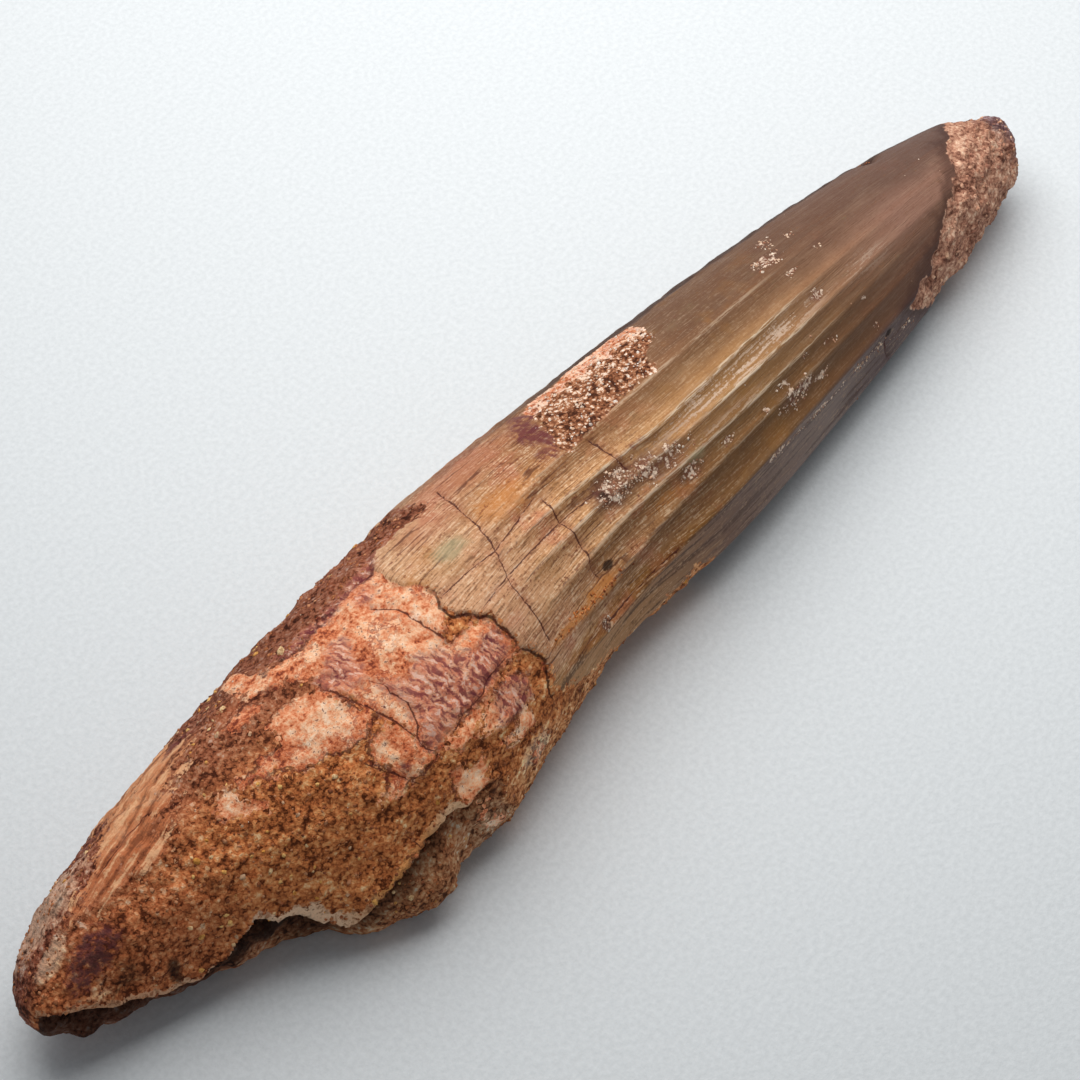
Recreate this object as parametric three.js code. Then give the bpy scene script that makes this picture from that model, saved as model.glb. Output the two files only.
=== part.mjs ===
// A fossil spinosaurus tooth: a fluted crown on a broken root, with sandstone from its bed still stuck to it.
// Bone, enamel and sandstone have set into one stone, so the tooth is one solid.
// It lies on its flatter side with the tip towards +X. Millimetres, +Z up, origin under the middle of its box.

import * as THREE from "three";
import { LoftGeometry } from "three/addons/geometries/LoftGeometry.js";

// Length of the tooth, and how far in from each end the sections start to round off
const LENGTH = 125;
const HALF = LENGTH / 2;
const ROOT_ROUND = 10;
const TIP_ROUND = 7;

// The four sides of the tooth, as [station along X, offset]: the far and near sides in Y, the top and underside in Z
const FAR_SIDE = [
  [-HALF, 9.8], [-56, 10.8], [-44, 11.7], [-28, 11.6], [-14, 10.9], [2, 9.2],
  [20, 6.8], [36, 4.1], [48, 1.4], [56, -1.2], [HALF, -3.9],
];
const NEAR_SIDE = [
  [-HALF, 1.4], [-54, -0.5], [-46, -4.5], [-40, -8], [-34, -10.5], [-26, -12.4], [-18, -11.6],
  [-6, -10.6], [6, -11.9], [26, -12.1], [42, -11.8], [52, -11.3], [58, -10.4], [HALF, -9.6],
];
const TOP = [
  [-HALF, 11], [-50, 14], [-36, 17], [-22, 18.2], [-8, 17.6],
  [12, 16.6], [32, 14.6], [46, 12.4], [56, 10.4], [HALF, 9],
];
// Where the underside would dip below zero it is worn flat: one flat under the root, one under the crown's belly
const UNDERSIDE = [
  [-HALF, 2.5], [-52, 0.8], [-42, -0.5], [-26, -0.7], [-12, 0.3],
  [6, -0.5], [30, -0.5], [46, 1], [56, 2.2], [HALF, 3],
];

// Cross sections as [across, up]: -1 at the near side and 1 at the far side, 0 at the underside and 1 at the top.
// They start at the far side and turn over the top. The crown has a sharper near shoulder than the root.
const CROWN_SECTION = [
  [1, 0.5], [0.86, 0.74], [0.5, 0.93], [0, 1], [-0.5, 0.92], [-0.83, 0.7],
  [-0.97, 0.44], [-0.93, 0.2], [-0.6, 0.03], [0, 0], [0.55, 0.05], [0.9, 0.24],
];
const ROOT_SECTION = [
  [1, 0.46], [0.88, 0.72], [0.52, 0.93], [0.05, 1], [-0.44, 0.94], [-0.78, 0.74],
  [-0.95, 0.46], [-0.95, 0.2], [-0.66, 0.02], [0, 0], [0.58, 0.04], [0.92, 0.22],
];
const ROOT_ENDS = -20; // station where the root's section starts to change
const CROWN_STARTS = -6; // station where the crown's section is complete

// Middle of each end as [Y, Z], the share of the section left there, and the roundness of each end
const ROOT_END = [5.2, 6.5];
const TIP_END = [-5.4, 5.8];
const END_SHARE = 0.15;
const ROOT_BLUNTNESS = 2.5;
const TIP_BLUNTNESS = 2;

// The lump of sandstone under the near side of the root: its middle, half sizes and reach
const LUMP_STATION = -36.5;
const LUMP_HALF_LENGTH = 4.6;
const LUMP_TURN = 7 / 12;
const LUMP_HALF_TURN = 0.096;
const LUMP_REACH = 2.4;

// Steps of the loft
const ALONG = 76;
const AROUND = 44;

// A smooth curve through [station, value] pairs.
function sideCurve(points) {
  const stations = points.map(([station]) => station);
  const values = points.map(([, value]) => value);
  const curve = new THREE.CubicInterpolant(stations, values, 1);
  return (station) => curve.evaluate(station)[0];
}

// A smooth closed curve through [across, up] pairs, read by the share of a turn.
function sectionCurve(points) {
  const corners = points.map(([across, up]) => new THREE.Vector3(0, across, up));
  const curve = new THREE.CatmullRomCurve3(corners, true, "catmullrom");
  return (turn) => curve.getPoint(turn);
}

// How much of a section is left at a distance from an end that rounds off over a length.
function endRound(distance, length, bluntness) {
  const inward = 1 - Math.min(distance / length, 1);
  return Math.max((1 - inward ** bluntness) ** (1 / bluntness), END_SHARE);
}

// A bump with a flat top that falls away past its half size.
function bump(offset, halfSize) {
  return Math.exp(-((offset / halfSize) ** 4));
}

const farSide = sideCurve(FAR_SIDE);
const nearSide = sideCurve(NEAR_SIDE);
const top = sideCurve(TOP);
const underside = sideCurve(UNDERSIDE);
const crownSection = sectionCurve(CROWN_SECTION);
const rootSection = sectionCurve(ROOT_SECTION);

// A point of the tooth's surface: the section between its four sides, drawn in at the ends, with the lump added.
function surfacePoint(station, turn) {
  const crownShare = THREE.MathUtils.smoothstep(station, ROOT_ENDS, CROWN_STARTS);
  const outline = rootSection(turn).lerp(crownSection(turn), crownShare);
  const near = nearSide(station);
  const far = farSide(station);
  const low = underside(station);
  const point = new THREE.Vector3(
    station,
    (near + far) / 2 + ((far - near) / 2) * outline.y,
    low + (top(station) - low) * outline.z,
  );
  const rootEnd = new THREE.Vector3(station, ...ROOT_END);
  const tipEnd = new THREE.Vector3(station, ...TIP_END);
  point.lerp(rootEnd, 1 - endRound(HALF + station, ROOT_ROUND, ROOT_BLUNTNESS));
  point.lerp(tipEnd, 1 - endRound(HALF - station, TIP_ROUND, TIP_BLUNTNESS));
  point.y -= LUMP_REACH * bump(station - LUMP_STATION, LUMP_HALF_LENGTH) * bump(turn - LUMP_TURN, LUMP_HALF_TURN);
  point.z = Math.max(point.z, 0);
  return point;
}

// Stations lie closer together towards the ends, where the sections change fastest.
function stationAt(share) {
  const even = 2 * share - 1;
  const crowded = -Math.cos(Math.PI * share);
  return (HALF * (even + crowded)) / 2;
}

function toothGeometry() {
  const sections = Array.from({ length: ALONG + 1 }, (_, row) => {
    const station = stationAt(row / ALONG);
    return Array.from({ length: AROUND }, (_, column) => surfacePoint(station, column / AROUND));
  });
  const geometry = new LoftGeometry(sections, { capStart: true, capEnd: true });
  geometry.computeBoundingBox();
  const middle = geometry.boundingBox.getCenter(new THREE.Vector3());
  geometry.translate(-middle.x, -middle.y, -geometry.boundingBox.min.z);
  return geometry;
}

const fossil = new THREE.MeshStandardMaterial({ color: 0x7d5a3c, roughness: 0.7, metalness: 0 });

const tooth = new THREE.Mesh(toothGeometry(), fossil);
tooth.name = "tooth";

const specimen = new THREE.Group();
specimen.add(tooth);

export default specimen;
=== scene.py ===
import functools
import itertools
import math

import bpy
import numpy as np
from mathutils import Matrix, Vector


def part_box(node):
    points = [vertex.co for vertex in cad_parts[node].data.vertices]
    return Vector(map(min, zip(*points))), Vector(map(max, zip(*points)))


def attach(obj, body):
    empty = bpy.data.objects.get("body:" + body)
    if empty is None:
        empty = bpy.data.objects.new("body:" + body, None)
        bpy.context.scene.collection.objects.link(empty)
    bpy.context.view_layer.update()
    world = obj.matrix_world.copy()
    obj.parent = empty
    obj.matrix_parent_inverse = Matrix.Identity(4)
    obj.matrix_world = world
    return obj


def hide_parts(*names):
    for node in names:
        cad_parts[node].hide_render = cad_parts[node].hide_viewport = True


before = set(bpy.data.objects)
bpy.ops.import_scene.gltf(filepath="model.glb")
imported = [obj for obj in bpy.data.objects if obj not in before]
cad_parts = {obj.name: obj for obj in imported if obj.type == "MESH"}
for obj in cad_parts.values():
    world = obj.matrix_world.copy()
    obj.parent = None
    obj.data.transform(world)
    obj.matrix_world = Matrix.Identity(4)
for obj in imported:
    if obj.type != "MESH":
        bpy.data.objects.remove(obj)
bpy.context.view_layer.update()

# The tooth's body
# A cone of dentine and enamel turned to stone, slightly curved, on a root that broke out of the jaw.
# It lies on its flatter side. Everything on it is measured from this smooth form, in millimetres.
MM = 0.001
low_corner, high_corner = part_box("tooth")
HALF = (high_corner.x - low_corner.x) / 2 / MM
FAR_SIDE = [
    (-HALF, 9.8), (-56, 10.8), (-44, 11.7), (-28, 11.6), (-14, 10.9), (2, 9.2),
    (20, 6.8), (36, 4.1), (48, 1.4), (56, -1.2), (HALF, -3.9),
]
NEAR_SIDE = [
    (-HALF, 1.4), (-54, -0.5), (-46, -4.5), (-40, -8), (-34, -10.5), (-26, -12.4), (-18, -11.6),
    (-6, -10.6), (6, -11.9), (26, -12.1), (42, -11.8), (52, -11.3), (58, -10.4), (HALF, -9.6),
]
TOP = [
    (-HALF, 11), (-50, 14), (-36, 17), (-22, 18.2), (-8, 17.6),
    (12, 16.6), (32, 14.6), (46, 12.4), (56, 10.4), (HALF, 9),
]
UNDERSIDE = [
    (-HALF, 2.5), (-52, 0.8), (-42, -0.5), (-26, -0.7), (-12, 0.3),
    (6, -0.5), (30, -0.5), (46, 1), (56, 2.2), (HALF, 3),
]
CROWN_SECTION = [
    (1, 0.5), (0.86, 0.74), (0.5, 0.93), (0, 1), (-0.5, 0.92), (-0.83, 0.7), (-0.97, 0.44), (-0.93, 0.2),
    (-0.6, 0.03), (0, 0), (0.55, 0.05), (0.9, 0.24),
]
ROOT_SECTION = [
    (1, 0.46), (0.88, 0.72), (0.52, 0.93), (0.05, 1), (-0.44, 0.94), (-0.78, 0.74), (-0.95, 0.46),
    (-0.95, 0.2), (-0.66, 0.02), (0, 0), (0.58, 0.04), (0.92, 0.22),
]
ROOT_ENDS, CROWN_STARTS = -20, -6
ROOT_ROUND, TIP_ROUND = 10, 7
ROOT_BLUNTNESS, TIP_BLUNTNESS = 2.5, 2
ROOT_END, TIP_END = (5.2, 6.5), (-5.4, 5.8)
LUMP_STATION, LUMP_HALF_LENGTH = -36.5, 4.6
LUMP_TURN, LUMP_HALF_TURN, LUMP_REACH = 7 / 12, 0.096, 2.4
ALONG, AROUND = 560, 176
TOP_TURN = 0.25  # the share of a turn where a section is highest
CROWD_TURN, CROWDING = 0.3, 0.38  # columns stand closer together around this turn, by this much
END_CROWDING = 0.15  # rows stand closer together towards both ends, by this much
LEAST_GIRTH = 0.5


def smooth_step(low, high, value):
    """Rises from 0 at low to 1 at high as 3 t squared minus 2 t cubed."""
    share = np.clip((value - low) / (high - low), 0, 1)
    return share * share * (3 - 2 * share)


def side_curve(points, station):
    """Cubic curve through (station, offset) points, with each point's slope taken from its neighbours."""
    at, offset = np.array(points, float).T
    slope = np.gradient(offset, at)
    left = np.clip(np.searchsorted(at, station) - 1, 0, len(at) - 2)
    span = at[left + 1] - at[left]
    t = (station - at[left]) / span
    rise = t * t * (3 - 2 * t)
    lean = span * t * (1 - t) * ((1 - t) * slope[left] - t * slope[left + 1])
    return offset[left] * (1 - rise) + offset[left + 1] * rise + lean


def section_curve(points, turn):
    """Closed Catmull-Rom curve through (across, up) points, read by the share of a turn."""
    corners = np.array(points, float)
    count = len(corners)
    place = turn % 1 * count
    index = np.floor(place).astype(int)
    t = (place - index)[..., None]
    before, start, end, after = (corners[(index + k) % count] for k in (-1, 0, 1, 2))
    bend = 2 * before - 5 * start + 4 * end - after
    twist = 3 * start - before - 3 * end + after
    return start + ((end - before) * t + bend * t ** 2 + twist * t ** 3) / 2


def end_round(distance, length, bluntness):
    """What is left of a section near an end: a superellipse quarter over the rounded length."""
    inward = 1 - np.clip(distance / length, 0, 1)
    return (1 - inward ** bluntness) ** (1 / bluntness)


def tooth_form(station, turn):
    """Section between the four side curves, drawn in to a point at each end, the root's lump pushed out."""
    share = smooth_step(ROOT_ENDS, CROWN_STARTS, station)[..., None]
    outline = section_curve(ROOT_SECTION, turn) * (1 - share) + section_curve(CROWN_SECTION, turn) * share
    near, far = side_curve(NEAR_SIDE, station), side_curve(FAR_SIDE, station)
    low, high = side_curve(UNDERSIDE, station), side_curve(TOP, station)
    y = (near + far) / 2 + (far - near) / 2 * outline[..., 0]
    z = low + (high - low) * outline[..., 1]
    root_share = end_round(HALF + station, ROOT_ROUND, ROOT_BLUNTNESS)
    tip_share = end_round(HALF - station, TIP_ROUND, TIP_BLUNTNESS)
    y = ROOT_END[0] + (y - ROOT_END[0]) * root_share
    z = ROOT_END[1] + (z - ROOT_END[1]) * root_share
    y = TIP_END[0] + (y - TIP_END[0]) * tip_share
    z = TIP_END[1] + (z - TIP_END[1]) * tip_share
    lump = np.exp(-((station - LUMP_STATION) / LUMP_HALF_LENGTH) ** 4)
    lump = lump * np.exp(-((turn - LUMP_TURN) / LUMP_HALF_TURN) ** 4)
    return np.stack([station, y - LUMP_REACH * lump, np.maximum(z, 0)], axis=-1)


# Rows run from the root's end to the tip, columns from the underside over the far side and the near side
row_share = np.linspace(0, 1, ALONG + 1)
row_wave = -np.cos(math.pi * row_share)
row_station = HALF * ((1 - END_CROWDING) * (2 * row_share - 1) + END_CROWDING * row_wave)
column = np.linspace(TOP_TURN - 0.5, TOP_TURN + 0.5, AROUND + 1)
column_wave = np.sin(2 * math.pi * (column - CROWD_TURN)) - np.sin(2 * math.pi * (column[0] - CROWD_TURN))
column_turn = column - CROWDING / (2 * math.pi) * column_wave
station, turn = np.meshgrid(row_station, column_turn, indexing="ij")
form = tooth_form(station, turn)
form[..., 1] += (low_corner.y + high_corner.y) / 2 / MM - (form[..., 1].min() + form[..., 1].max()) / 2

# The chart: each point's station and its arc from the top line, positive on the far side
steps = np.linalg.norm(np.diff(form, axis=1), axis=2)
run = np.concatenate([np.zeros((ALONG + 1, 1)), np.cumsum(steps, axis=1)], axis=1)
girth = np.maximum(run[:, -1], LEAST_GIRTH)
past_top = np.searchsorted(column_turn, TOP_TURN)
top_share = (TOP_TURN - column_turn[past_top - 1]) / (column_turn[past_top] - column_turn[past_top - 1])
top_run = run[:, past_top - 1] * (1 - top_share) + run[:, past_top] * top_share
arc = top_run[:, None] - run
CHART_U = (station + HALF) / (2 * HALF)
CHART_V = run / girth[:, None]
CHART_V[0], CHART_V[-1] = CHART_V[1], CHART_V[-2]


def outward(surface):
    """Unit normals of a grid: the cross product of its steps around and along, with the columns closed."""
    around = np.roll(surface[:, :-1], -1, axis=1) - np.roll(surface[:, :-1], 1, axis=1)
    around = np.concatenate([around, around[:, :1]], axis=1)
    normal = np.cross(around, np.gradient(surface, axis=0))
    normal[0], normal[-1] = (-1, 0, 0), (1, 0, 0)
    return normal / np.maximum(np.linalg.norm(normal, axis=2, keepdims=True), 1e-9)


# The tooth's surface
# Enamel covers the crown in long flutes, sharpest on the near half. Bare bone shows on the root in plates.
# Sand from the river bed has set hard on the rest, and the root's near wall is broken off along a thin edge.

# Outlines on the chart, as (station, arc)
ENAMEL = [
    (-19.5, 31), (-19.5, 6), (-20.7, 4.9), (-20.9, 3.2), (-20.8, 1.4), (-20.1, 0.2), (-20.1, -1),
    (-20.8, -2.1), (-20.7, -3.1), (-19.9, -3.8), (-19.3, -4.9), (-18.7, -5.3), (-18.7, -7), (-18.4, -8.1),
    (-19, -8.8), (-18.3, -9.3), (-17.8, -9.9), (-17.3, -11.3), (-17.6, -12.6), (-18.4, -14), (-18, -31),
    (70, -31), (70, 31),
]
BARE_BONE = {
    "plates": [
        (-35.4, 4.8), (-33.5, 5.6), (-31.5, 5.3), (-29, 4.9), (-26.5, 5.5), (-24, 5.3), (-21.5, 4.9),
        (-19.6, 4.9), (-19.8, -1.2), (-20.8, -2.4), (-22.5, -3.3), (-22.6, -4.3), (-21, -4.7),
        (-19.4, -4.9), (-18.9, -5.4), (-18.9, -8), (-19.8, -8.9), (-21.5, -8.6), (-22.8, -9.3),
        (-24.5, -8.9), (-26.5, -8.8), (-28, -9.4), (-30, -9.4), (-30.3, -8.5), (-30.1, -7.4),
        (-30.4, -5.5), (-30.8, -3.5), (-31.3, -1.5), (-31.7, 0.3), (-31.2, 1.6), (-32.2, 2.6), (-32, 3.6),
        (-33.6, 4.1),
    ],
    "peach": [
        (-41.3, -0.9), (-40.2, -0.6), (-38.5, -0.5), (-37.2, -0.9), (-36.6, 0.1), (-36, 1), (-34.8, 1.4),
        (-33, 1.3), (-31.9, 0.5), (-31.5, -1.5), (-31, -3.6), (-31.9, -4), (-32.5, -4.9), (-34.2, -4.8),
        (-35, -4.2), (-36.5, -3.7), (-38, -3), (-39.5, -2.2), (-40.7, -1.5),
    ],
    "wedge": [
        (-33.3, -5.4), (-31, -4.9), (-30.3, -7.3), (-30, -9.5), (-31.5, -10.1), (-33.5, -10.3),
        (-35.7, -9.9), (-34.8, -8.8), (-33.4, -8), (-33.8, -6.8),
    ],
    "fibres": [
        (-56, 0.2), (-54, -0.7), (-52, -1), (-51.2, -0.4), (-49.6, -1.6), (-48.4, -1.3), (-47.6, 0.2),
        (-45.8, 0.1), (-46.2, 1.5), (-44, 1.9), (-44.6, 3.2), (-42.2, 3.7), (-43, 4.9), (-40.5, 5.5),
        (-38.8, 6.3), (-41.5, 7.3), (-40, 9), (-41, 12), (-50, 10), (-48.4, 6), (-50.2, 4.2), (-50, 2.8),
        (-52.8, 2),
    ],
    "chip": [(-38, 3.7), (-37, 4.3), (-35.4, 4.2), (-35.1, 2.9), (-36.5, 2.6), (-37.8, 2.6)],
    "fleck": [
        (-44.1, -2.4), (-43.3, -0.8), (-42.5, -0.5), (-41.7, -1), (-42.2, -2.1), (-41.2, -3.3),
        (-41.7, -4), (-42.7, -2.9),
    ],
    "pale_plate": [
        (-29.5, -11.5), (-28.3, -12), (-28, -12.8), (-26.3, -12.5), (-26.9, -13.4), (-27.3, -14.7),
        (-29.8, -15.3), (-30.3, -13.6),
    ],
    "gold_plate": [
        (-24.4, -13.7), (-22.5, -13.1), (-21.4, -11.9), (-20.2, -12.4), (-19.5, -13.8), (-20.3, -14.7),
        (-22.8, -14.8),
    ],
    "pink_plate": [
        (-26.3, -10.9), (-24.5, -10.1), (-21, -10.1), (-20.1, -11.5), (-22, -12.3), (-24.3, -11.9),
        (-25.7, -11.6),
    ],
    "thin_plate": [
        (-29.5, -9.7), (-26.5, -9.2), (-24.2, -9.2), (-23.7, -9.8), (-25.6, -10.1), (-28.2, -10.8),
    ],
}
BARE_SPOTS = {
    "band": [(-35.2, 9.5), (-34.9, 5), (-33, 5), (-32.6, 6.5), (-32.8, 9.5)],
    "curl": [
        (-28.6, -16.2), (-27.9, -16.8), (-28.3, -18), (-27.9, -19), (-27, -20.2), (-27.8, -20.6),
        (-28.8, -19.6), (-29, -18.2), (-28.8, -17),
    ],
    "blob": [(-22.4, -17.2), (-21, -17), (-20, -17.8), (-20.4, -18.6), (-22, -18.7)],
}
PURPLE_PLATES = {
    "upper": [
        (-31.6, 0.3), (-31.4, 1.1), (-30, 1.8), (-29, 2.5), (-28.2, 2.8), (-27.3, 2.6), (-27.9, 1.4),
        (-28.6, 0.2), (-29, -0.8), (-30.2, -1.3), (-31.2, -0.6),
    ],
    "lower": [
        (-28.6, -2.9), (-27, -3.4), (-25.5, -3.2), (-24.3, -3.8), (-23, -5.2), (-21, -5.9), (-19.2, -6.2),
        (-18.9, -8), (-19.8, -8.8), (-24, -8.9), (-27, -8.7), (-29.9, -9), (-29.9, -7.5), (-29, -6.3),
        (-28.6, -4.5),
    ],
    "slip": [(-23.3, -9.8), (-21, -9.8), (-19.3, -11), (-20, -12.4), (-22.5, -12.6), (-24, -11.6)],
    "corner": [(-23.8, 4.4), (-22.6, 4.9), (-21.8, 4.6), (-22.4, 3.4), (-23.6, 2.8), (-24, 3.4)],
    "border": [(-31, 6.4), (-24, 6.3), (-19.4, 6.2), (-19.4, 5.1), (-24, 5.2), (-30, 5.3)],
}
FAR_CRUST = [
    (-38, 5.6), (-30, 5.7), (-24, 5.8), (-20.5, 5.5), (-19.5, 6.1), (-16, 6), (-14, 5.5), (-12.9, 5.7),
    (-12, 6.4), (-12.2, 7.6), (-13.4, 8.6), (-13, 11), (-14.8, 13.6), (-12.7, 16.5), (-14.4, 19.5),
    (-12.9, 22.5), (-15.4, 26.5), (-15, 31), (-38, 31),
]
FLANK_CRUST = [
    (-21, -12.6), (-18.4, -13.4), (-17, -14.8), (-15, -16), (-12, -16.9), (-8, -17.6), (-4, -18.3),
    (-1, -17.4), (2, -17), (4, -17.9), (4.7, -19), (2.4, -20.4), (3.2, -22.3), (0.4, -24.5), (-6, -31),
    (-21, -31),
]
CROWN_CRUST = [
    (-2, 0.4), (-1.9, 1.6), (-1.1, 2.6), (-0.5, 4.4), (0.4, 6), (0.2, 7.6), (1.6, 8.7), (3.6, 8.9),
    (5.4, 8.6), (7.4, 9.1), (9.6, 8.8), (11.6, 9), (13.2, 8.6), (14.8, 7.8), (14.6, 6.5), (13.9, 5),
    (13.3, 3.7), (11.6, 3.2), (10.3, 1.5), (9.5, 0.9), (5, 0.9), (2.5, 0.5),
]
TIP_CRUST = [
    (57, 31), (56, 4.4), (54.2, 1.7), (52, 0.6), (50.3, -0.6), (49.2, -2.2), (48, -3.6), (46, -4.6),
    (44, -5.8), (42.5, -6.8), (40.8, -8.2), (38.5, -9.4), (35.2, -10.6), (38, -12.6), (46, -16),
    (55, -31), (70, -31), (70, 31),
]
BROKEN_EDGE = [
    (-70, -0.4), (-62, -0.8), (-60.2, -3.8), (-58.5, -6.3), (-57.3, -7.4), (-56.2, -8.7), (-55, -10.3),
    (-54, -11.2), (-52, -12.1), (-50.5, -12.4), (-49, -12), (-47.3, -11.4), (-46.6, -10.7), (-45.5, -12),
    (-44.2, -12.8), (-43.3, -13.7), (-43, -14.8), (-42, -16.3), (-41.2, -17.7), (-40.4, -16.8),
    (-39.3, -16.1), (-37.5, -15.8), (-35, -15.2), (-33, -14.8), (-31, -14.8), (-29.8, -15.3),
    (-27.3, -14.7), (-25.8, -16), (-26.5, -18), (-25.2, -20.5), (-26.8, -23), (-25, -26), (-26, -31),
    (-70, -31),
]

# Width of bare bone along the broken edge, as (station, width)
RIM_WIDTHS = [
    (-62, 0), (-60, 0.2), (-55, 0.4), (-53.5, 0.6), (-51.5, 0.2), (-48, -0.1), (-46, 0.4), (-43.5, 0.9),
    (-41, 1), (-40, 0.5), (-37, 0.55), (-34, 0.65), (-33, 0.8), (-30.5, 0.9), (-29.5, 0.2), (-26, -0.2),
    (-24, -4),
]

# Cracks as lines of (station, arc)
CROSS_CRACKS = [
    [(-10.7, 6.8), (-11.5, 4.5), (-12.4, 1.5), (-13, -0.3), (-13.7, -2), (-14.8, -3.9), (-15.4, -5),
     (-15.6, -7), (-15.8, -8.5), (-16.1, -10.3)],
    [(-7.1, -1.4), (-7.8, -3.5), (-7.8, -5), (-8.1, -7), (-8.6, -8.5), (-8.4, -9.6)],
    [(0, -0.2), (0.1, -2), (0, -4.3)],
    [(-31.7, 0.4), (-31.3, -1.5), (-30.8, -3.5), (-30.4, -5.5), (-30.1, -7.4)],
    [(-29.1, -1.8), (-28.6, -2.7), (-28.9, -3.5), (-28.6, -4.8), (-29, -6.1), (-29.5, -6.9),
     (-30.1, -7.5), (-30.2, -8.6), (-29.6, -9.4)],
    [(-23.8, 2.7), (-22.9, 1), (-22.8, -0.5), (-22.7, -3.8)],
    [(-34.3, -6.1), (-33.5, -7.8), (-32.7, -9.3), (-32.1, -10.4)],
    [(-34.9, -13.4), (-34.5, -15)],
    [(31.9, -11.2), (31.3, -12.4), (31.6, -14), (32.4, -15.4)],
]
LONG_CRACKS = [
    [(-20, -1.6), (-17, -1.7), (-13.7, -2), (-10, -1.4), (-7.4, -0.9)],
    [(-18.6, -4.6), (-15.2, -4.2), (-12, -4), (-8, -3.9), (-3.9, -4.1)],
    [(-27.8, -9.3), (-26, -8.8), (-24, -8.9), (-22.3, -8.4), (-20, -8.6)],
    [(-14.2, -13.6), (-10, -13.6), (-5, -13.3), (0, -12.9)],
    [(-52.4, 1.1), (-50.5, 1.5), (-49, 2.1), (-46.5, 2.4)],
]

# Flutes: the line of each ridge on the crown's near half, how far it stands out and how pale it is rubbed
SHOULDER = [
    (-24, -13.4), (-17, -13.6), (-9.5, -14.1), (-3, -13.5), (2, -12.8), (8, -12.3), (15.5, -11.7),
    (22, -11.3), (28, -10.8), (34, -10.3), (45, -8.8), (56, -7),
]
CREAM_RIDGES = [
    [(-20, -11.6), (-16, -11.2), (-9.5, -10.9), (-4.5, -10.4), (0.5, -9.6), (6, -9), (12, -8.7),
     (20, -8.5), (30, -8), (40, -7), (50, -6)],
    [(-20, -8.4), (-14, -8), (-7.6, -7.5), (-1.4, -7.1), (5, -6.9), (15.5, -6.8), (26, -6.4), (40, -5.4),
     (50, -4.8)],
    [(-20, -5.9), (-12.6, -5.3), (-6.4, -5.1), (0, -5.1), (6, -5.1), (13, -5), (21, -4.9), (30, -4.6),
     (40, -4), (50, -3.4)],
    [(-20, -2.5), (-12.6, -2.6), (-6.4, -2.75), (-1.4, -3), (5, -3.2), (10.5, -3), (17, -2.75),
     (26, -2.7), (36, -2.4), (50, -1.8)],
    [(-14, -0.6), (-3, 0.2), (5, 0.5), (14, 0.5), (30, 0.4), (45, 0.2)],
]
CREAM_RIDGE_HEIGHTS = [0.9, 0.8, 1, 1, 0.4]
CREAM_RIDGE_PALLOR = [0.25, 0.6, 1, 0.9, 0.4]
# Further ridges, as (arc at the standard girth, height): on the underside and on the far side
HIDDEN_RIDGES = [(-24.5, 0.7), (-20.5, 0.8), (-16.5, 0.6), (10.5, 0.3), (15, 0.6), (19.5, 0.7), (24, 0.7)]
SHOULDER_HEIGHT = 1.1
FLUTE_DEPTH, FLUTE_RISE = 0.5, 0.6  # the full depth, and the share of it that stands above the form
FULL_FLUTE, LEAST_RIDGE_GAP = 3.0, 0.1  # narrower flutes than the first are shallower
FLUTES_START, FLUTES_FADE, FLUTES_LOST = (-19, -6), (22, 44), 0.8  # stations, and what the fade takes away
STANDARD_GIRTH = 57.0

# Noise over the form, from random values on a lattice
HASH_PRIMES = np.array([73856093, 19349663, 83492791])
TABLE_LENGTH = 4096
OCTAVE_SHIFT = 17.3  # keeps the lattices of a cloud's octaves from lining up


def lattice_values(cells, table):
    """A value from the table for each whole-number cell: its three numbers are hashed to a place in it."""
    return table[np.bitwise_xor.reduce(cells * HASH_PRIMES, axis=-1) % len(table)]


def cloud(pitch, seed, octaves=4):
    """Sum of smooth lattice noises, each of half the last one's pitch and height, from about -1 to 1."""
    points = form / pitch
    table = np.random.default_rng(seed).uniform(-1, 1, TABLE_LENGTH)
    total = np.zeros(station.shape)
    for octave in range(octaves):
        place = points * 2.0 ** octave + OCTAVE_SHIFT * octave
        cell = np.floor(place).astype(np.int64)
        fade = place - cell
        fade = fade ** 3 * (fade * (fade * 6 - 15) + 10)
        for corner in itertools.product((0, 1), repeat=3):
            weight = np.prod(np.where(corner, fade, 1 - fade), axis=-1)
            total += weight * lattice_values(cell + np.array(corner), table) / 2.0 ** octave
    return total


def pebbles(pitch, seed):
    """One grain at a random place in each lattice cell: 1 at the nearest one's middle, less further off."""
    points = form / pitch
    table = np.random.default_rng(seed).uniform(0, 1, (TABLE_LENGTH, 3))
    cell = np.floor(points).astype(np.int64)
    nearest = np.full(station.shape, 1.0)
    for shift in itertools.product((-1, 0, 1), repeat=3):
        neighbour = cell + np.array(shift)
        away = np.linalg.norm(neighbour + lattice_values(neighbour, table) - points, axis=-1)
        nearest = np.minimum(nearest, away)
    return 1 - nearest


def near_segment(start, end):
    """Squared distance of every chart point to a straight segment, from the nearest point along it."""
    (x0, s0), (x1, s1) = start, end
    run_x, run_s = x1 - x0, s1 - s0
    t = np.clip(((station - x0) * run_x + (arc - s0) * run_s) / (run_x ** 2 + run_s ** 2), 0, 1)
    return (station - x0 - t * run_x) ** 2 + (arc - s0 - t * run_s) ** 2


def near_line(line):
    """Distance of every chart point to an open line: the least of those to its segments."""
    return np.sqrt(np.min([near_segment(*ends) for ends in zip(line[:-1], line[1:])], axis=0))


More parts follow.
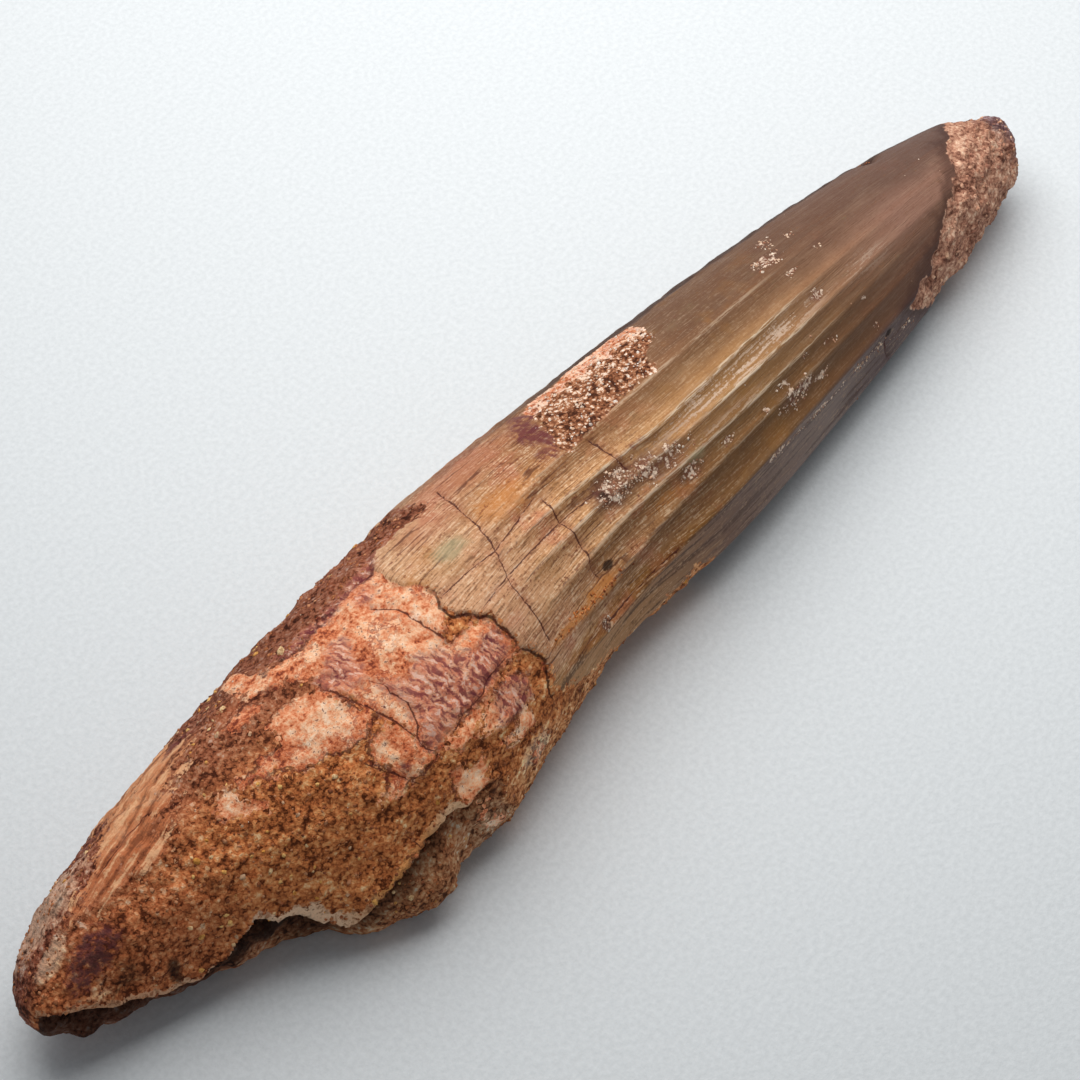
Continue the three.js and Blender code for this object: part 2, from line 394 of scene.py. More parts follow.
def inside(outline):
    """Distance of every chart point to a closed outline, positive within it by the even-odd rule."""
    closed = outline + outline[:1]
    within = np.zeros(station.shape, bool)
    for (x0, s0), (x1, s1) in zip(closed[:-1], closed[1:]):
        if s0 != s1:
            within ^= ((s0 > arc) != (s1 > arc)) & (station < x0 + (arc - s0) * (x1 - x0) / (s1 - s0))
    return np.where(within, 1, -1) * near_line(closed)


def inside_any(outlines):
    """Distance of every chart point to the nearest of several outlines, positive within any of them."""
    return np.max([inside(outline) for outline in outlines.values()], axis=0)


def blots(spots):
    """Soft spots, each (station, arc, half length, half width, strength), joined by the strongest."""
    total = np.zeros(station.shape)
    for x, s, long, wide, strength in spots:
        reach = ((station - x) / long) ** 2 + ((arc - s) / wide) ** 2
        total = np.maximum(total, strength * np.exp(-reach ** 1.5))
    return total


# Edges of the coverings, each wandering a little from its outline
wander = cloud(pitch=1.6, seed=3, octaves=3)
enamel = inside(ENAMEL) + 0.25 * wander
bare = inside_any(BARE_BONE)
broken = inside(BROKEN_EDGE) + 0.15 * wander
root_crust = np.minimum(-bare, -enamel)
root_crust = np.maximum(root_crust, np.maximum(inside(FAR_CRUST), inside(FLANK_CRUST)))
root_crust = np.maximum(root_crust, broken)
root_crust = np.minimum(root_crust, -inside_any(BARE_SPOTS)) + 0.3 * wander
purple_plate = inside_any(PURPLE_PLATES) + 0.3 * wander
crown_crust = inside(CROWN_CRUST) + 0.3 * wander
tip_crust = inside(TIP_CRUST) + 0.6 * wander


def ridge_line(points):
    """Arc of a ridge at every chart point's station, held level beyond the line's ends."""
    return side_curve(points, np.clip(station, points[0][0], points[-1][0]))


# Flutes: cusps at the ridges with round hollows between, deepest in the middle of the crown
flute_arc = arc * STANDARD_GIRTH / girth[:, None]
shoulder_arc = ridge_line(SHOULDER)
girth_scale = np.broadcast_to(girth[:, None], station.shape) / STANDARD_GIRTH
ridges = [(level * girth_scale, height) for level, height in HIDDEN_RIDGES]
ridges += [(shoulder_arc, SHOULDER_HEIGHT)]
ridges += [(ridge_line(line), height) for line, height in zip(CREAM_RIDGES, CREAM_RIDGE_HEIGHTS)]
ridges.sort(key=lambda entry: entry[0].mean())
ridge_arc = np.stack([level for level, height in ridges])
ridge_height = np.array([height for level, height in ridges])
ridge = np.clip((arc > ridge_arc).sum(axis=0) - 1, 0, len(ridges) - 2)
ridge_start = np.take_along_axis(ridge_arc, ridge[None], axis=0)[0]
ridge_gap = np.take_along_axis(ridge_arc, ridge[None] + 1, axis=0)[0] - ridge_start
between = np.clip((arc - ridge_start) / np.maximum(ridge_gap, LEAST_RIDGE_GAP), 0, 1)
flute_height = ridge_height[ridge] * (1 - between) + ridge_height[ridge + 1] * between
flute_length = smooth_step(*FLUTES_START, station) * (1 - FLUTES_LOST * smooth_step(*FLUTES_FADE, station))
flutes = FLUTE_DEPTH * flute_height * flute_length * np.minimum(ridge_gap / FULL_FLUTE, 1)
flutes = flutes * (FLUTE_RISE - np.sin(math.pi * between))

# Painted shade lies in each hollow below the ridge above it, and painted light on the slope above each ridge
flute_shade = smooth_step(0.45, 0.85, between) - smooth_step(0.5, 0.1, between)
flute_shade = flute_shade * np.minimum(ridge_gap / 2.5, 1)
flute_shade = flute_shade * flute_length * (flute_arc < 1.5) * (flute_arc > -14)

cross_crack = np.min([near_line(line) for line in CROSS_CRACKS], axis=0)
long_crack = np.min([near_line(line) for line in LONG_CRACKS], axis=0)

# Relief in millimetres, added along the form's normal
ENAMEL_STEP, ENAMEL_STEP_FADE, EDGE_WEAR = 0.32, 7, 0.09
CROSS_CRACK_DEPTH, LONG_CRACK_DEPTH, CRACK_SPREAD = 0.14, 0.09, 0.2
KNOB_HEIGHT, GRIT_MEAN, KNOB_MEAN = 0.6, 0.4, 0.45
LEDGE_DROP, LEDGE_FADE, LEDGE_LIP, LEDGE_LIP_WIDTH = 1.3, 2.4, 0.3, 0.7
DEEP_START, DEEP_END, LEDGE_END = (-50, -46), (-32, -29), (-30, -27)  # stations of the recess under the edge
NOTCH_DROP, NOTCH_STATION, NOTCH_HALF_LENGTH = 1.4, -44.8, 2.2
DENT_DEPTH, DENT_STATION, DENT_ARC, DENT_HALF_LENGTH, DENT_HALF_WIDTH = 0.7, 46.6, 5.6, 0.8, 1.2
lumpy = cloud(pitch=2.6, seed=11)
gritty = pebbles(pitch=0.62, seed=12)
knobbly = pebbles(pitch=1.9, seed=13)
crumbly = cloud(pitch=1.1, seed=16, octaves=3)


def sand_relief(lumps, grit, crumbs, sunk):
    """Height of a sandstone crust: the sum of its lumps, grit and crumbs, less how far it lies sunk."""
    return lumps * lumpy + grit * (gritty - GRIT_MEAN) + crumbs * crumbly - sunk


on_crust = smooth_step(-0.1, 0.7, root_crust)
on_crown_crust = smooth_step(-0.1, 0.6, crown_crust)
on_tip_crust = smooth_step(-0.1, 0.8, tip_crust)
coarse = 0.1 + 0.9 * smooth_step(-0.5, 0.5, broken)
crust_relief = sand_relief(lumps=0.24, grit=0.12, crumbs=0.1, sunk=0.1)
crust_relief = crust_relief + KNOB_HEIGHT * coarse * (knobbly - KNOB_MEAN)
below_edge = smooth_step(0, 0.4, broken)
notch = np.exp(-((station - NOTCH_STATION) / NOTCH_HALF_LENGTH) ** 2)
recess = 0.5 + 0.5 * smooth_step(*DEEP_START, station) * (1 - smooth_step(*DEEP_END, station))
recess = recess * (1 - smooth_step(*LEDGE_END, station))
ledge_drop = (LEDGE_DROP * recess + NOTCH_DROP * notch) * below_edge
ledge_drop = ledge_drop * np.exp(-np.maximum(broken, 0) / LEDGE_FADE)
ledge_lip = LEDGE_LIP * np.exp(-(broken / LEDGE_LIP_WIDTH) ** 2) * (1 - below_edge)
enamel_step = ENAMEL_STEP * smooth_step(-0.15, 0.2, enamel)
enamel_step = enamel_step * np.exp(-np.maximum(enamel, 0) / ENAMEL_STEP_FADE)
dent_reach = ((station - DENT_STATION) / DENT_HALF_LENGTH) ** 2 + ((arc - DENT_ARC) / DENT_HALF_WIDTH) ** 2
bone_relief = 0.1 * cloud(pitch=0.7, seed=14) + 0.16 * cloud(pitch=2.4, seed=15)
edge_wear = EDGE_WEAR * cloud(pitch=1.4, seed=18, octaves=3) * smooth_step(4, 8, arc)
relief = (flutes + edge_wear) * smooth_step(0, 1.5, enamel) + enamel_step
relief = relief + bone_relief * (1 - smooth_step(-1, 0.5, enamel))
relief = relief - CROSS_CRACK_DEPTH * np.exp(-(cross_crack / CRACK_SPREAD) ** 2)
relief = relief - LONG_CRACK_DEPTH * np.exp(-(long_crack / CRACK_SPREAD) ** 2)
relief = relief * (1 - on_crust) + crust_relief * on_crust
relief = relief + on_crown_crust * sand_relief(lumps=0, grit=0.2, crumbs=0.22, sunk=0.1)
tip_relief = sand_relief(lumps=0.3, grit=0.12, crumbs=0.26, sunk=0.2)
relief = relief * (1 - on_tip_crust) + tip_relief * on_tip_crust
relief = relief + ledge_lip - ledge_drop - DENT_DEPTH * np.exp(-dent_reach)
ends = smooth_step(0, 1.2, HALF - np.abs(station))
skin = form + outward(form) * (relief * ends)[..., None]
skin[..., 2] = np.maximum(skin[..., 2], 0)
skin_normal = outward(skin)

# Stains and residues on the chart by field, as (station, arc, half length, half width, strength).
# The dark ones also hold painted shade in the hole under the notch in the broken edge
STAINS = {
    "purple": [
        (-26, -6, 2.6, 1.2, 0.6), (-20.5, -6.6, 1.4, 0.9, 0.6), (-30, 0.4, 1, 1, 0.8),
        (-32.1, -8.4, 0.6, 0.5, 0.9), (-34, -3.6, 1.5, 1.2, 0.35), (-24, -8.4, 4, 0.5, 0.8),
        (-22.5, -12.1, 2, 0.6, 0.7), (-1.8, 3.8, 1.5, 2.6, 1.2), (0, 7.2, 1.1, 2, 1.1),
        (-3, 1.2, 1.4, 1.1, 0.9), (-1, 6, 1.2, 1.6, 1), (2.2, -3.1, 1.6, 0.4, 0.5),
        (-57, -2.8, 3, 1.8, 1.2), (18.4, -9.3, 2.8, 0.8, 0.75), (26.3, -3.7, 0.9, 0.7, 0.5),
        (59, -0.6, 1.6, 1.3, 0.9), (-26, 5.5, 7, 0.5, 0.8), (-40.5, 7.5, 1.8, 0.8, 0.8),
        (-3.5, -4.2, 0.7, 0.8, 0.7), (0.4, -5.4, 0.9, 0.5, 0.6), (-21, 5, 2.5, 0.5, 0.7),
    ],
    "orange": [
        (-28.1, -0.9, 1.2, 1.7, 0.95), (-26.6, 1.4, 1.3, 1, 1), (-39, -1.4, 2.4, 1, 1),
        (-36.7, 3.4, 1.7, 1, 1), (-24.2, 0.3, 0.5, 1.3, 0.6), (-33.9, -8.7, 1.3, 0.9, 0.9),
        (-20.4, 0.6, 0.9, 1.4, 0.6), (-9.4, 0.9, 3.4, 1.9, 0.65), (-18, 1.6, 2.4, 1.6, 0.35),
        (-8.8, -10.4, 2.2, 0.8, 1.1), (-13, -10.8, 4, 0.5, 0.8), (-31.6, -7, 0.8, 1.6, 0.6),
        (-49, 1, 5, 2, 0.7), (-36.5, -15.2, 3.4, 0.6, 0.9), (1.6, -8.4, 3.5, 0.7, 0.4),
    ],
    "cream": [
        (-25.3, 0.2, 1.3, 1.9, 1), (-22, -0.6, 1.3, 2.6, 0.85), (-24.4, -3.4, 1.7, 0.6, 0.7),
        (-34.4, -0.9, 2.4, 1.8, 0.5), (-29.7, -4.3, 0.8, 1.6, 0.8), (-21.5, -5.2, 2, 0.5, 0.5),
        (-28.6, -13.4, 1.4, 1.4, 0.6), (-32.2, -14.2, 2, 0.6, 0.8), (-58.4, 0.2, 2.2, 0.5, 0.7),
        (-21.8, -13.6, 2.4, 1.1, 0.8), (-42.6, -1.9, 1.3, 1.6, 0.6),
    ],
    "pink": [
        (-8.5, 7, 7, 3, 0.75), (-14.5, 4, 4, 1.8, 0.6), (-17.5, -7, 1.4, 0.8, 0.6), (12, 8, 4, 1.4, 0.2),
    ],
    "grey_green": [
        (-16, 0.7, 1.9, 1.1, 0.85), (5.6, -7.2, 1.4, 0.7, 0.6), (17, 3.6, 2.5, 1.2, 0.2),
    ],
    "residue": [
        (-1.7, -4.7, 3.2, 1.7, 0.86), (0.8, -4.9, 2.4, 1, 1), (3, -5.6, 3, 1.1, 1.05),
        (4.6, -7.9, 1.8, 0.8, 1), (9.3, -8, 0.8, 0.4, 1), (14.2, -8.3, 0.5, 0.4, 1),
        (18.2, -9.4, 2.6, 1.2, 1), (17.4, -7.6, 1.3, 0.5, 0.75), (21, -7, 0.6, 0.3, 1),
        (22.1, -9.6, 1.4, 0.4, 0.9), (24.6, -7.5, 0.9, 0.4, 0.95), (26.8, 2, 2, 1.1, 1),
        (28.9, 3.9, 1.2, 1, 0.9), (31.2, 2.9, 0.5, 0.35, 1), (26.9, -0.5, 0.9, 0.28, 0.95),
        (26.6, -3.5, 1.1, 0.7, 0.95), (31.3, 0, 0.9, 0.4, 0.75), (30.5, -6.6, 0.4, 0.25, 1),
        (30.6, -9.7, 0.45, 0.55, 1), (16.5, 4.1, 0.35, 0.25, 1), (-9.9, -13.5, 0.5, 0.6, 1),
        (14.5, -12.5, 3.5, 0.45, 1), (20.5, -12.5, 4, 0.4, 0.9), (28, -11.9, 4, 0.4, 0.75),
        (34, -12.4, 2.5, 0.8, 0.6),
    ],
    "pale_sand": [
        (-21.6, -17.3, 2.6, 1.6, 0.7), (-56, 4, 5, 3, 0.75), (-58.8, 0, 1.8, 0.9, 0.9),
        (-58, -5, 1.5, 1.5, 0.4),
    ],
    "striated": [
        (14, -4, 10, 1.1, 1), (21, -3.8, 6, 0.9, 0.9), (8, -6.6, 9, 0.5, 0.5), (33, -4, 4, 1, 0.4),
    ],
    # Dark stains, and painted shade in the hole under the notch in the broken edge
    "dark": [
        (-56, -6.6, 2.4, 2, 0.62), (-56.6, -3, 2.2, 1.4, 0.45), (-55.6, 2.2, 1.6, 0.5, 0.6),
        (-52.9, -9.8, 0.7, 1.8, 0.9), (-45, -14.2, 2.2, 1.6, 1), (-7, -9.35, 0.75, 0.45, 1.3),
        (-3.3, -4.7, 0.7, 0.6, 0.9), (-47, -13.6, 4, 1.5, 0.7), (-59.5, -7.5, 2, 1.6, 0.5),
        (32, -11.4, 0.5, 0.5, 1.2), (-28, -8.9, 2, 0.3, 0.6),
    ],
}

tooth_fields = {
    "enamel": enamel,
    "root_crust": root_crust,
    "crown_crust": crown_crust,
    "tip_crust": tip_crust,
    "broken": broken,
    "rim": broken + np.interp(station, *np.array(RIM_WIDTHS).T),
    "near_face": shoulder_arc - arc,
    "flute_arc": flute_arc,
    "flute_shade": flute_shade,
    "purple_plate": purple_plate,
    "crack_halo": np.exp(-(np.minimum(cross_crack, 1.5 * long_crack) / 0.45) ** 2),
}
tooth_fields.update({name: blots(spots) for name, spots in STAINS.items()})
CHART_MAP = "OFBake"


def add_object(name, vertices, faces, material):
    """A mesh object at the origin with smooth faces, from vertices in millimetres."""
    mesh = bpy.data.meshes.new(name)
    mesh.from_pydata((np.asarray(vertices) * MM).tolist(), [], faces)
    mesh.shade_smooth()
    mesh.materials.append(material)
    made = bpy.data.objects.new(name, mesh)
    bpy.context.scene.collection.objects.link(made)
    return made


def add_map(made, corners):
    """The chart as a UV map, one pair for each corner of each face in order."""
    layer = made.data.uv_layers.new(name=CHART_MAP)
    layer.data.foreach_set("uv", np.asarray(corners, np.float32).ravel())


def closed_grid(field):
    """Values for the tooth's vertices: every row but the two ends, then one value for each end."""
    field = np.asarray(field, float)
    inner = field[1:-1, :-1].reshape(-1, *field.shape[2:])
    ends = np.stack([field[0, :-1].mean(axis=0), field[-1, :-1].mean(axis=0)])
    return np.concatenate([inner, ends])


def closed_faces():
    """Quads between the rows and a fan of triangles at each end, with the chart place of every corner."""
    rows, columns = np.meshgrid(np.arange(ALONG - 2), np.arange(AROUND), indexing="ij")
    following = (columns + 1) % AROUND
    this_row, next_row = rows * AROUND, (rows + 1) * AROUND
    quads = [this_row + columns, this_row + following, next_row + following, next_row + columns]
    quads = np.stack(quads, axis=-1).reshape(-1, 4)
    chart = np.stack([CHART_U, CHART_V], axis=-1)
    quad_chart = np.stack([chart[1:-2, :-1], chart[1:-2, 1:], chart[2:-1, 1:], chart[2:-1, :-1]], axis=2)
    ring = np.arange(AROUND)
    root_pole, tip_pole = (ALONG - 1) * AROUND, (ALONG - 1) * AROUND + 1
    last = (ALONG - 2) * AROUND
    root_fan = np.stack([np.full(AROUND, root_pole), (ring + 1) % AROUND, ring], axis=-1)
    tip_fan = np.stack([last + ring, last + (ring + 1) % AROUND, np.full(AROUND, tip_pole)], axis=-1)
    root_chart = np.stack([(chart[0, :-1] + chart[0, 1:]) / 2, chart[1, 1:], chart[1, :-1]], axis=1)
    tip_chart = np.stack([chart[-2, :-1], chart[-2, 1:], (chart[-1, :-1] + chart[-1, 1:]) / 2], axis=1)
    faces = quads.tolist() + root_fan.tolist() + tip_fan.tolist()
    places = [quad_chart.reshape(-1, 2), root_chart.reshape(-1, 2), tip_chart.reshape(-1, 2)]
    return faces, np.concatenate(places)


class Wire:
    """A socket of a material. Arithmetic on it adds Math nodes, and add() puts in any other node."""

    def __init__(self, tree, socket=None):
        self.tree = tree
        self.socket = socket

    def add(self, kind, settings=(), sockets=(), out=0):
        """One node: its settings are set first, then each input's value or link. Gives one output."""
        node = self.tree.nodes.new(kind)
        for name, value in dict(settings).items():
            if name == "stops":
                set_stops(node.color_ramp, value)
            elif name == "curve":
                set_curve(node.mapping, value)
            else:
                setattr(node, name, value)
        for key, value in dict(sockets).items():
            if isinstance(value, Wire):
                self.tree.links.new(value.socket, node.inputs[key])
            else:
                node.inputs[key].default_value = value
        return Wire(self.tree, node.outputs[out] if node.outputs else None)

    def output(self, name):
        """Another output of the same node."""
        return Wire(self.tree, self.socket.node.outputs[name])

    def math(self, operation, *terms):
        """A Math node on the given terms."""
        return self.add("ShaderNodeMath", {"operation": operation}, dict(enumerate(terms)))

    # Operators, each one Math node
    def __add__(self, other):
        return self.math("ADD", self, other)

    def __sub__(self, other):
        return self.math("SUBTRACT", self, other)

    def __rsub__(self, other):
        return self.math("SUBTRACT", other, self)

    def __mul__(self, other):
        return self.math("MULTIPLY", self, other)

    def __abs__(self):
        return self.math("ABSOLUTE", self)

    __radd__ = __add__
    __rmul__ = __mul__

    def rise(self, low, high):
        """Smooth step from 0 at low to 1 at high, or from 1 down to 0 if high is below low."""
        ends = (low, high, 0.0, 1.0) if low < high else (high, low, 1.0, 0.0)
        sockets = dict(zip(("Value", "From Min", "From Max", "To Min", "To Max"), (self, *ends)))
        return self.add("ShaderNodeMapRange", {"interpolation_type": "SMOOTHSTEP"}, sockets)

    def ramp(self, *stops):
        """The colour at this value on a ramp with stops of (place, red, green, blue)."""
        pairs = [(place, tint(*display)) for place, *display in stops]
        return self.add("ShaderNodeValToRGB", {"stops": pairs}, {0: self})

    def to(self, other, share, blend="MIX"):
        """This colour mixed towards another by a share."""
        settings = {"data_type": "RGBA", "blend_type": blend}
        return self.add("ShaderNodeMix", settings, {0: share, 6: self, 7: other}, out=2)

    def over(self, *layers):
        """This colour under thin layers of (red, green, blue, share), laid on one after another."""
        colour = self
        for *display, share in layers:
            colour = colour.to(tint(*display), share)
        return colour

    def times(self, *layers):
        """This colour multiplied by factors of (red, green, blue, share), one after another."""
        colour = self
        for *factors, share in layers:
            colour = colour.to((*factors, 1), share, "MULTIPLY")
        return colour


def set_stops(ramp, stops):
    """Colour ramp stops from (place, colour) pairs."""
    while len(ramp.elements) < len(stops):
        ramp.elements.new(1)
    for element, (place, colour) in zip(ramp.elements, stops):
        element.position = place
        element.color = colour


def set_curve(mapping, points):
    """Straight-sided float curve through (place, value) points in rising order."""
    curve = mapping.curves[0]
    while len(curve.points) < len(points):
        curve.points.new(1, 1)
    for handle, (place, value) in zip(curve.points, points):
        handle.location = (place, value)
        handle.handle_type = "VECTOR"
    mapping.update()


def tint(red, green, blue):
    """A colour from its 0 to 255 display values, in linear light by the standard display curve."""
    share = np.array([red, green, blue]) / 255
    linear = np.where(share <= 0.04045, share / 12.92, ((share + 0.055) / 1.055) ** 2.4)
    return (*linear.tolist(), 1.0)


def largest(wires):
    """The largest of several values at each point."""
    return functools.reduce(lambda first, second: first.math("MAXIMUM", first, second), wires)


def new_material(name):
    """An empty node material and a wire to add its nodes with."""
    material = bpy.data.materials.new(name)
    material.use_nodes = True
    material.node_tree.nodes.clear()
    return material, Wire(material.node_tree)


def finish_material(base, roughness, height, relief_mm, gloss):
    """Principled shader with a bump of the given full height, wired to the output."""
    bump = base.add("ShaderNodeBump", {}, {"Height": height, "Distance": relief_mm * MM, "Strength": 1.0})
    shader = base.add("ShaderNodeBsdfPrincipled", {}, {
        "Base Color": base, "Roughness": roughness, "Normal": bump, "Specular IOR Level": gloss})
    base.add("ShaderNodeOutputMaterial", {}, {"Surface": shader})


def noise(place, pitch, detail=4.0, rough=0.55, space="3D"):
    """Cloud noise about 0, from -0.5 to 0.5, one swell in each pitch of the coordinate."""
    found = place.add("ShaderNodeTexNoise", {"noise_dimensions": space}, {
        "Vector": place, "Scale": 1 / pitch, "Detail": detail, "Roughness": rough})
    return found - 0.5


def object_place(wire):
    """Object coordinates in millimetres."""
    place = wire.add("ShaderNodeTexCoord", out=3)
    return wire.add("ShaderNodeVectorMath", {"operation": "SCALE"}, {0: place, 3: 1 / MM})


def flat_place(across, up):
    """A flat coordinate from two values."""
    return across.add("ShaderNodeCombineXYZ", {}, {0: across, 1: up})


def chart_place(line):
    """Chart (station, arc) points as places on the UV map."""
    points = np.array(line, float)
    at_girth = np.interp(points[:, 0], row_station, girth)
    at_top = np.interp(points[:, 0], row_station, top_run)
    return (points[:, 0] + HALF) / (2 * HALF), (at_top - points[:, 1]) / at_girth


LINE_END = 0.004  # half the share of the map over which a line fades at each end


def thin_line(chart, line, across, wobble, pinch, half_width):
    """A line on the map through chart points, as a curve of one map coordinate over the other.

    It is 1 where the distance from the curve, moved by a wobble and with a pinch added, is well under half a
    width, and falls to 0 at half a width.
    """
    u, v = chart_place(line)
    chart_u, chart_v = chart
    key, value, key_wire, value_wire, scale = (
        (v, u, chart_v, chart_u, 2 * HALF) if across else (u, v, chart_u, chart_v, STANDARD_GIRTH))
    order = np.argsort(key)
    points = list(zip(key[order].tolist(), value[order].tolist()))
    curve = key_wire.add("ShaderNodeFloatCurve", {"curve": points}, {"Value": key_wire})
    away = abs((value_wire - curve) * scale + wobble) + pinch
    start, end = points[0][0], points[-1][0]
    begun = key_wire.rise(start - LINE_END, start + LINE_END)
    not_ended = key_wire.rise(end + LINE_END, end - LINE_END)
    return away.rise(half_width, half_width * 0.3) * (begun * not_ended)


GRAIN_PITCH = 0.34
CREST_HALF_WIDTH, CROSS_CRACK_HALF_WIDTH, LONG_CRACK_HALF_WIDTH = 0.22, 0.1, 0.065


def tooth_material():
    """Enamel, bone and sandstone on one surface, told apart by its vertex fields and broken up by noise."""
    material, wire = new_material("fossil_tooth")
    fields = {name: wire.add("ShaderNodeAttribute", {"attribute_name": name}, out=2)
              for name in tooth_fields}
    arc_from_top, broken = fields["flute_arc"], fields["broken"]
    place = object_place(wire)
    map_place = wire.add("ShaderNodeUVMap", {"uv_map": CHART_MAP})
    map_place = wire.add("ShaderNodeSeparateXYZ", {}, {0: map_place})
    chart = chart_u, chart_v = map_place.output("X"), map_place.output("Y")
    long_mm, round_mm = chart_u * (2 * HALF), chart_v * STANDARD_GIRTH

    # Noises from patches of 4 mm to grains of 0.3 mm, then those drawn out along, askew and across
    mottle = noise(place, 4.0, detail=2.0)
    ragged = noise(place, 1.5, detail=4.0, rough=0.65)
    fine = noise(place, 0.5, detail=2.0, rough=0.7)
    crisp = noise(place, 0.3, detail=2.0, rough=0.7)
    along = flat_place(long_mm * 0.06, round_mm + ragged * 0.25)
    lane = noise(along, 1.8, detail=1.0, space="2D")
    streak = noise(along, 0.8, detail=3.0, rough=0.6, space="2D")
    thread = noise(along, 0.3, detail=1.0, space="2D")
    hair = noise(along, 0.12, detail=1.0, space="2D")
    slanted = flat_place(long_mm * 0.14, round_mm + long_mm * 0.35)
    fibre = noise(slanted, 0.8, detail=4.0, rough=0.65, space="2D")
    crossed = flat_place(long_mm - round_mm * 0.15 + ragged * 1.6, round_mm * 0.5 + mottle * 3.0)
    vein = noise(crossed, 0.42, detail=2.0, space="2D")
    patchy = mottle + ragged * 0.4

    # Sand grains: each cell has a tone and two more numbers of its own, and grows darker towards its gaps
    cells = wire.add("ShaderNodeTexVoronoi", {"feature": "F1"}, {"Vector": place, "Scale": 1 / GRAIN_PITCH})
    numbers = wire.add("ShaderNodeSeparateColor", {}, {0: cells.output("Color")})
    tone, chance, rare = (numbers.output(name) for name in ("Red", "Green", "Blue"))
    sugar = fine * 1.1 + ragged * 0.5 + (tone - 0.5) * 0.36 - cells * 0.3 + 0.6

    # Where each covering lies, up to a ragged edge
    fibrous = (chart_u - arc_from_top * 0.006).rise(0.165, 0.14)
    on_enamel = (fields["enamel"] + ragged * 0.4).rise(-0.06, 0.06)
    crust_edge = fields["root_crust"] + ragged * 1.8 + (crisp + fibre * 1.6) * fibrous * 2.4
    on_crust = (crust_edge + (chance - 0.5) * 0.8 + fine * 1.2).rise(-0.1, 0.1)
    on_crown_crust = (fields["crown_crust"] + ragged * 1.4 + fine).rise(-0.1, 0.1)
    tip_edge = fields["tip_crust"] + ragged * 1.6 + fine * 0.6
    on_tip_crust = tip_edge.rise(-0.1, 0.1)

    # Enamel is tan by the root and chocolate towards the tip, redder on the far half, with painted shade in
    # the flutes
    far_enamel = chart_u.ramp(
        (0.36, 212, 162, 122), (0.46, 178, 124, 84), (0.53, 152, 108, 75), (0.62, 116, 83, 61),
        (0.7, 111, 81, 62), (0.8, 109, 80, 66), (0.92, 106, 82, 73))
    near_enamel = chart_u.ramp(
        (0.36, 214, 160, 120), (0.46, 194, 144, 100), (0.54, 176, 130, 86), (0.62, 162, 120, 78),
        (0.72, 146, 108, 80), (0.82, 148, 110, 93))
    by_root = chart_u.rise(0.6, 0.44)
    streaky_arc = arc_from_top + streak * 1.5
    low_band = (arc_from_top + streak).rise(-10.9, -12.0)
    enamel = near_enamel.to(far_enamel, (arc_from_top + mottle * 3.0).rise(-3.5, 1.5)).times(
        (0.68, 0.66, 0.62, streaky_arc.rise(-4.8, -6.2) * chart_u.rise(0.42, 0.56)),
        (0.86, 0.82, 0.82, streaky_arc.rise(-6.6, -8.6)),
        (0.86, 0.77, 0.48, low_band * chart_u.rise(0.58, 0.5)),
        (0.84, 0.84, 1.1, low_band * chart_u.rise(0.56, 0.68)))
    grain = hair * 0.6 + crisp * 0.6
    enamel = enamel.over(
        (124, 76, 46, streak.rise(0.0, 0.24) * (by_root * 0.12 + 0.18)),
        (246, 214, 178, streak.rise(-0.04, -0.24) * (by_root * 0.12 + 0.05)),
        (186, 112, 84, patchy.rise(-0.02, -0.2) * by_root * 0.55),
        (86, 46, 26, grain.rise(0.0, 0.2) * (by_root * 0.36 + 0.24)),
        (252, 224, 190, grain.rise(-0.02, -0.2) * (by_root * 0.38 + chart_u.rise(0.76, 0.6) * 0.1 + 0.03)),
        (160, 112, 52, patchy.rise(0.02, 0.22) * chart_u.rise(0.76, 0.62) * 0.25))
    # Painted shade in the hollow below each ridge, and painted light on the slope above it
    painted_flute_shading = fields["flute_shade"] + ragged * 0.3
    enamel = enamel.times(
        (0.56, 0.5, 0.42, painted_flute_shading.rise(0.1, 0.9) * chart_u.rise(0.75, 0.5) * 0.6),
        (1.25, 1.22, 1.15, painted_flute_shading.rise(-0.1, -0.9) * 0.6))
    freckle = (crisp * 0.8 + thread * 0.8 + ragged * 0.6).rise(0.16, 0.3) * by_root
    hairline = abs(lane + ragged * 0.04).rise(0.014, 0.005) * mottle.rise(-0.06, 0.08) * by_root
    wavy = ragged * 0.08 + streak * 0.15
    crest = largest([
        thin_line(chart, line, False, wavy, 0.0, CREST_HALF_WIDTH) * pallor
        for line, pallor in zip(CREAM_RIDGES, CREAM_RIDGE_PALLOR)])
    crest = crest * chart_u.rise(0.36, 0.5) * chart_u.rise(0.74, 0.64)
    crest = crest * (hair * 1.6 + streak + mottle).rise(-0.12, 0.2)
    striae = fields["striated"] * (thread * 1.2 + streak * 0.4 + crisp * 1.2).rise(-0.04, 0.24)
    enamel = enamel.over(
        (184, 110, 86, (fields["pink"] + mottle * 0.8 + fine * 0.4).rise(0.05, 0.9) * 0.5),
        (202, 130, 66, (fields["orange"] + ragged * 0.9 + crisp * 0.8).rise(0.1, 0.9) * 0.75),
        (120, 62, 46, freckle * 0.6),
        (84, 40, 30, hairline * 0.7),
        (248, 226, 196, crest * 0.75),
        (232, 206, 184, striae * 0.66))
    near_face = (chart_u + streak * 0.12).ramp(
        (0.34, 190, 140, 94), (0.46, 178, 132, 93), (0.54, 130, 101, 86), (0.66, 140, 122, 114),
        (0.74, 108, 91, 88), (0.86, 104, 87, 86))
    near_face = near_face.over(
        (66, 42, 32, (streak + thread * 0.6 + crisp * 0.4).rise(0.0, 0.2) * (by_root * 0.25 + 0.45)),
        (210, 172, 134, (grain + ragged * 0.4).rise(-0.06, -0.2) * (by_root * 0.45 + 0.3)))
    carina = streaky_arc + ragged
    carina = carina.rise(7.6, 8.6) * carina.rise(11.0, 9.4) * (chart_u.rise(0.47, 0.56) * 0.6 + 0.4)
    greenish = (fields["grey_green"] + ragged * 0.8 + hair * 0.8).rise(0.1, 0.9)
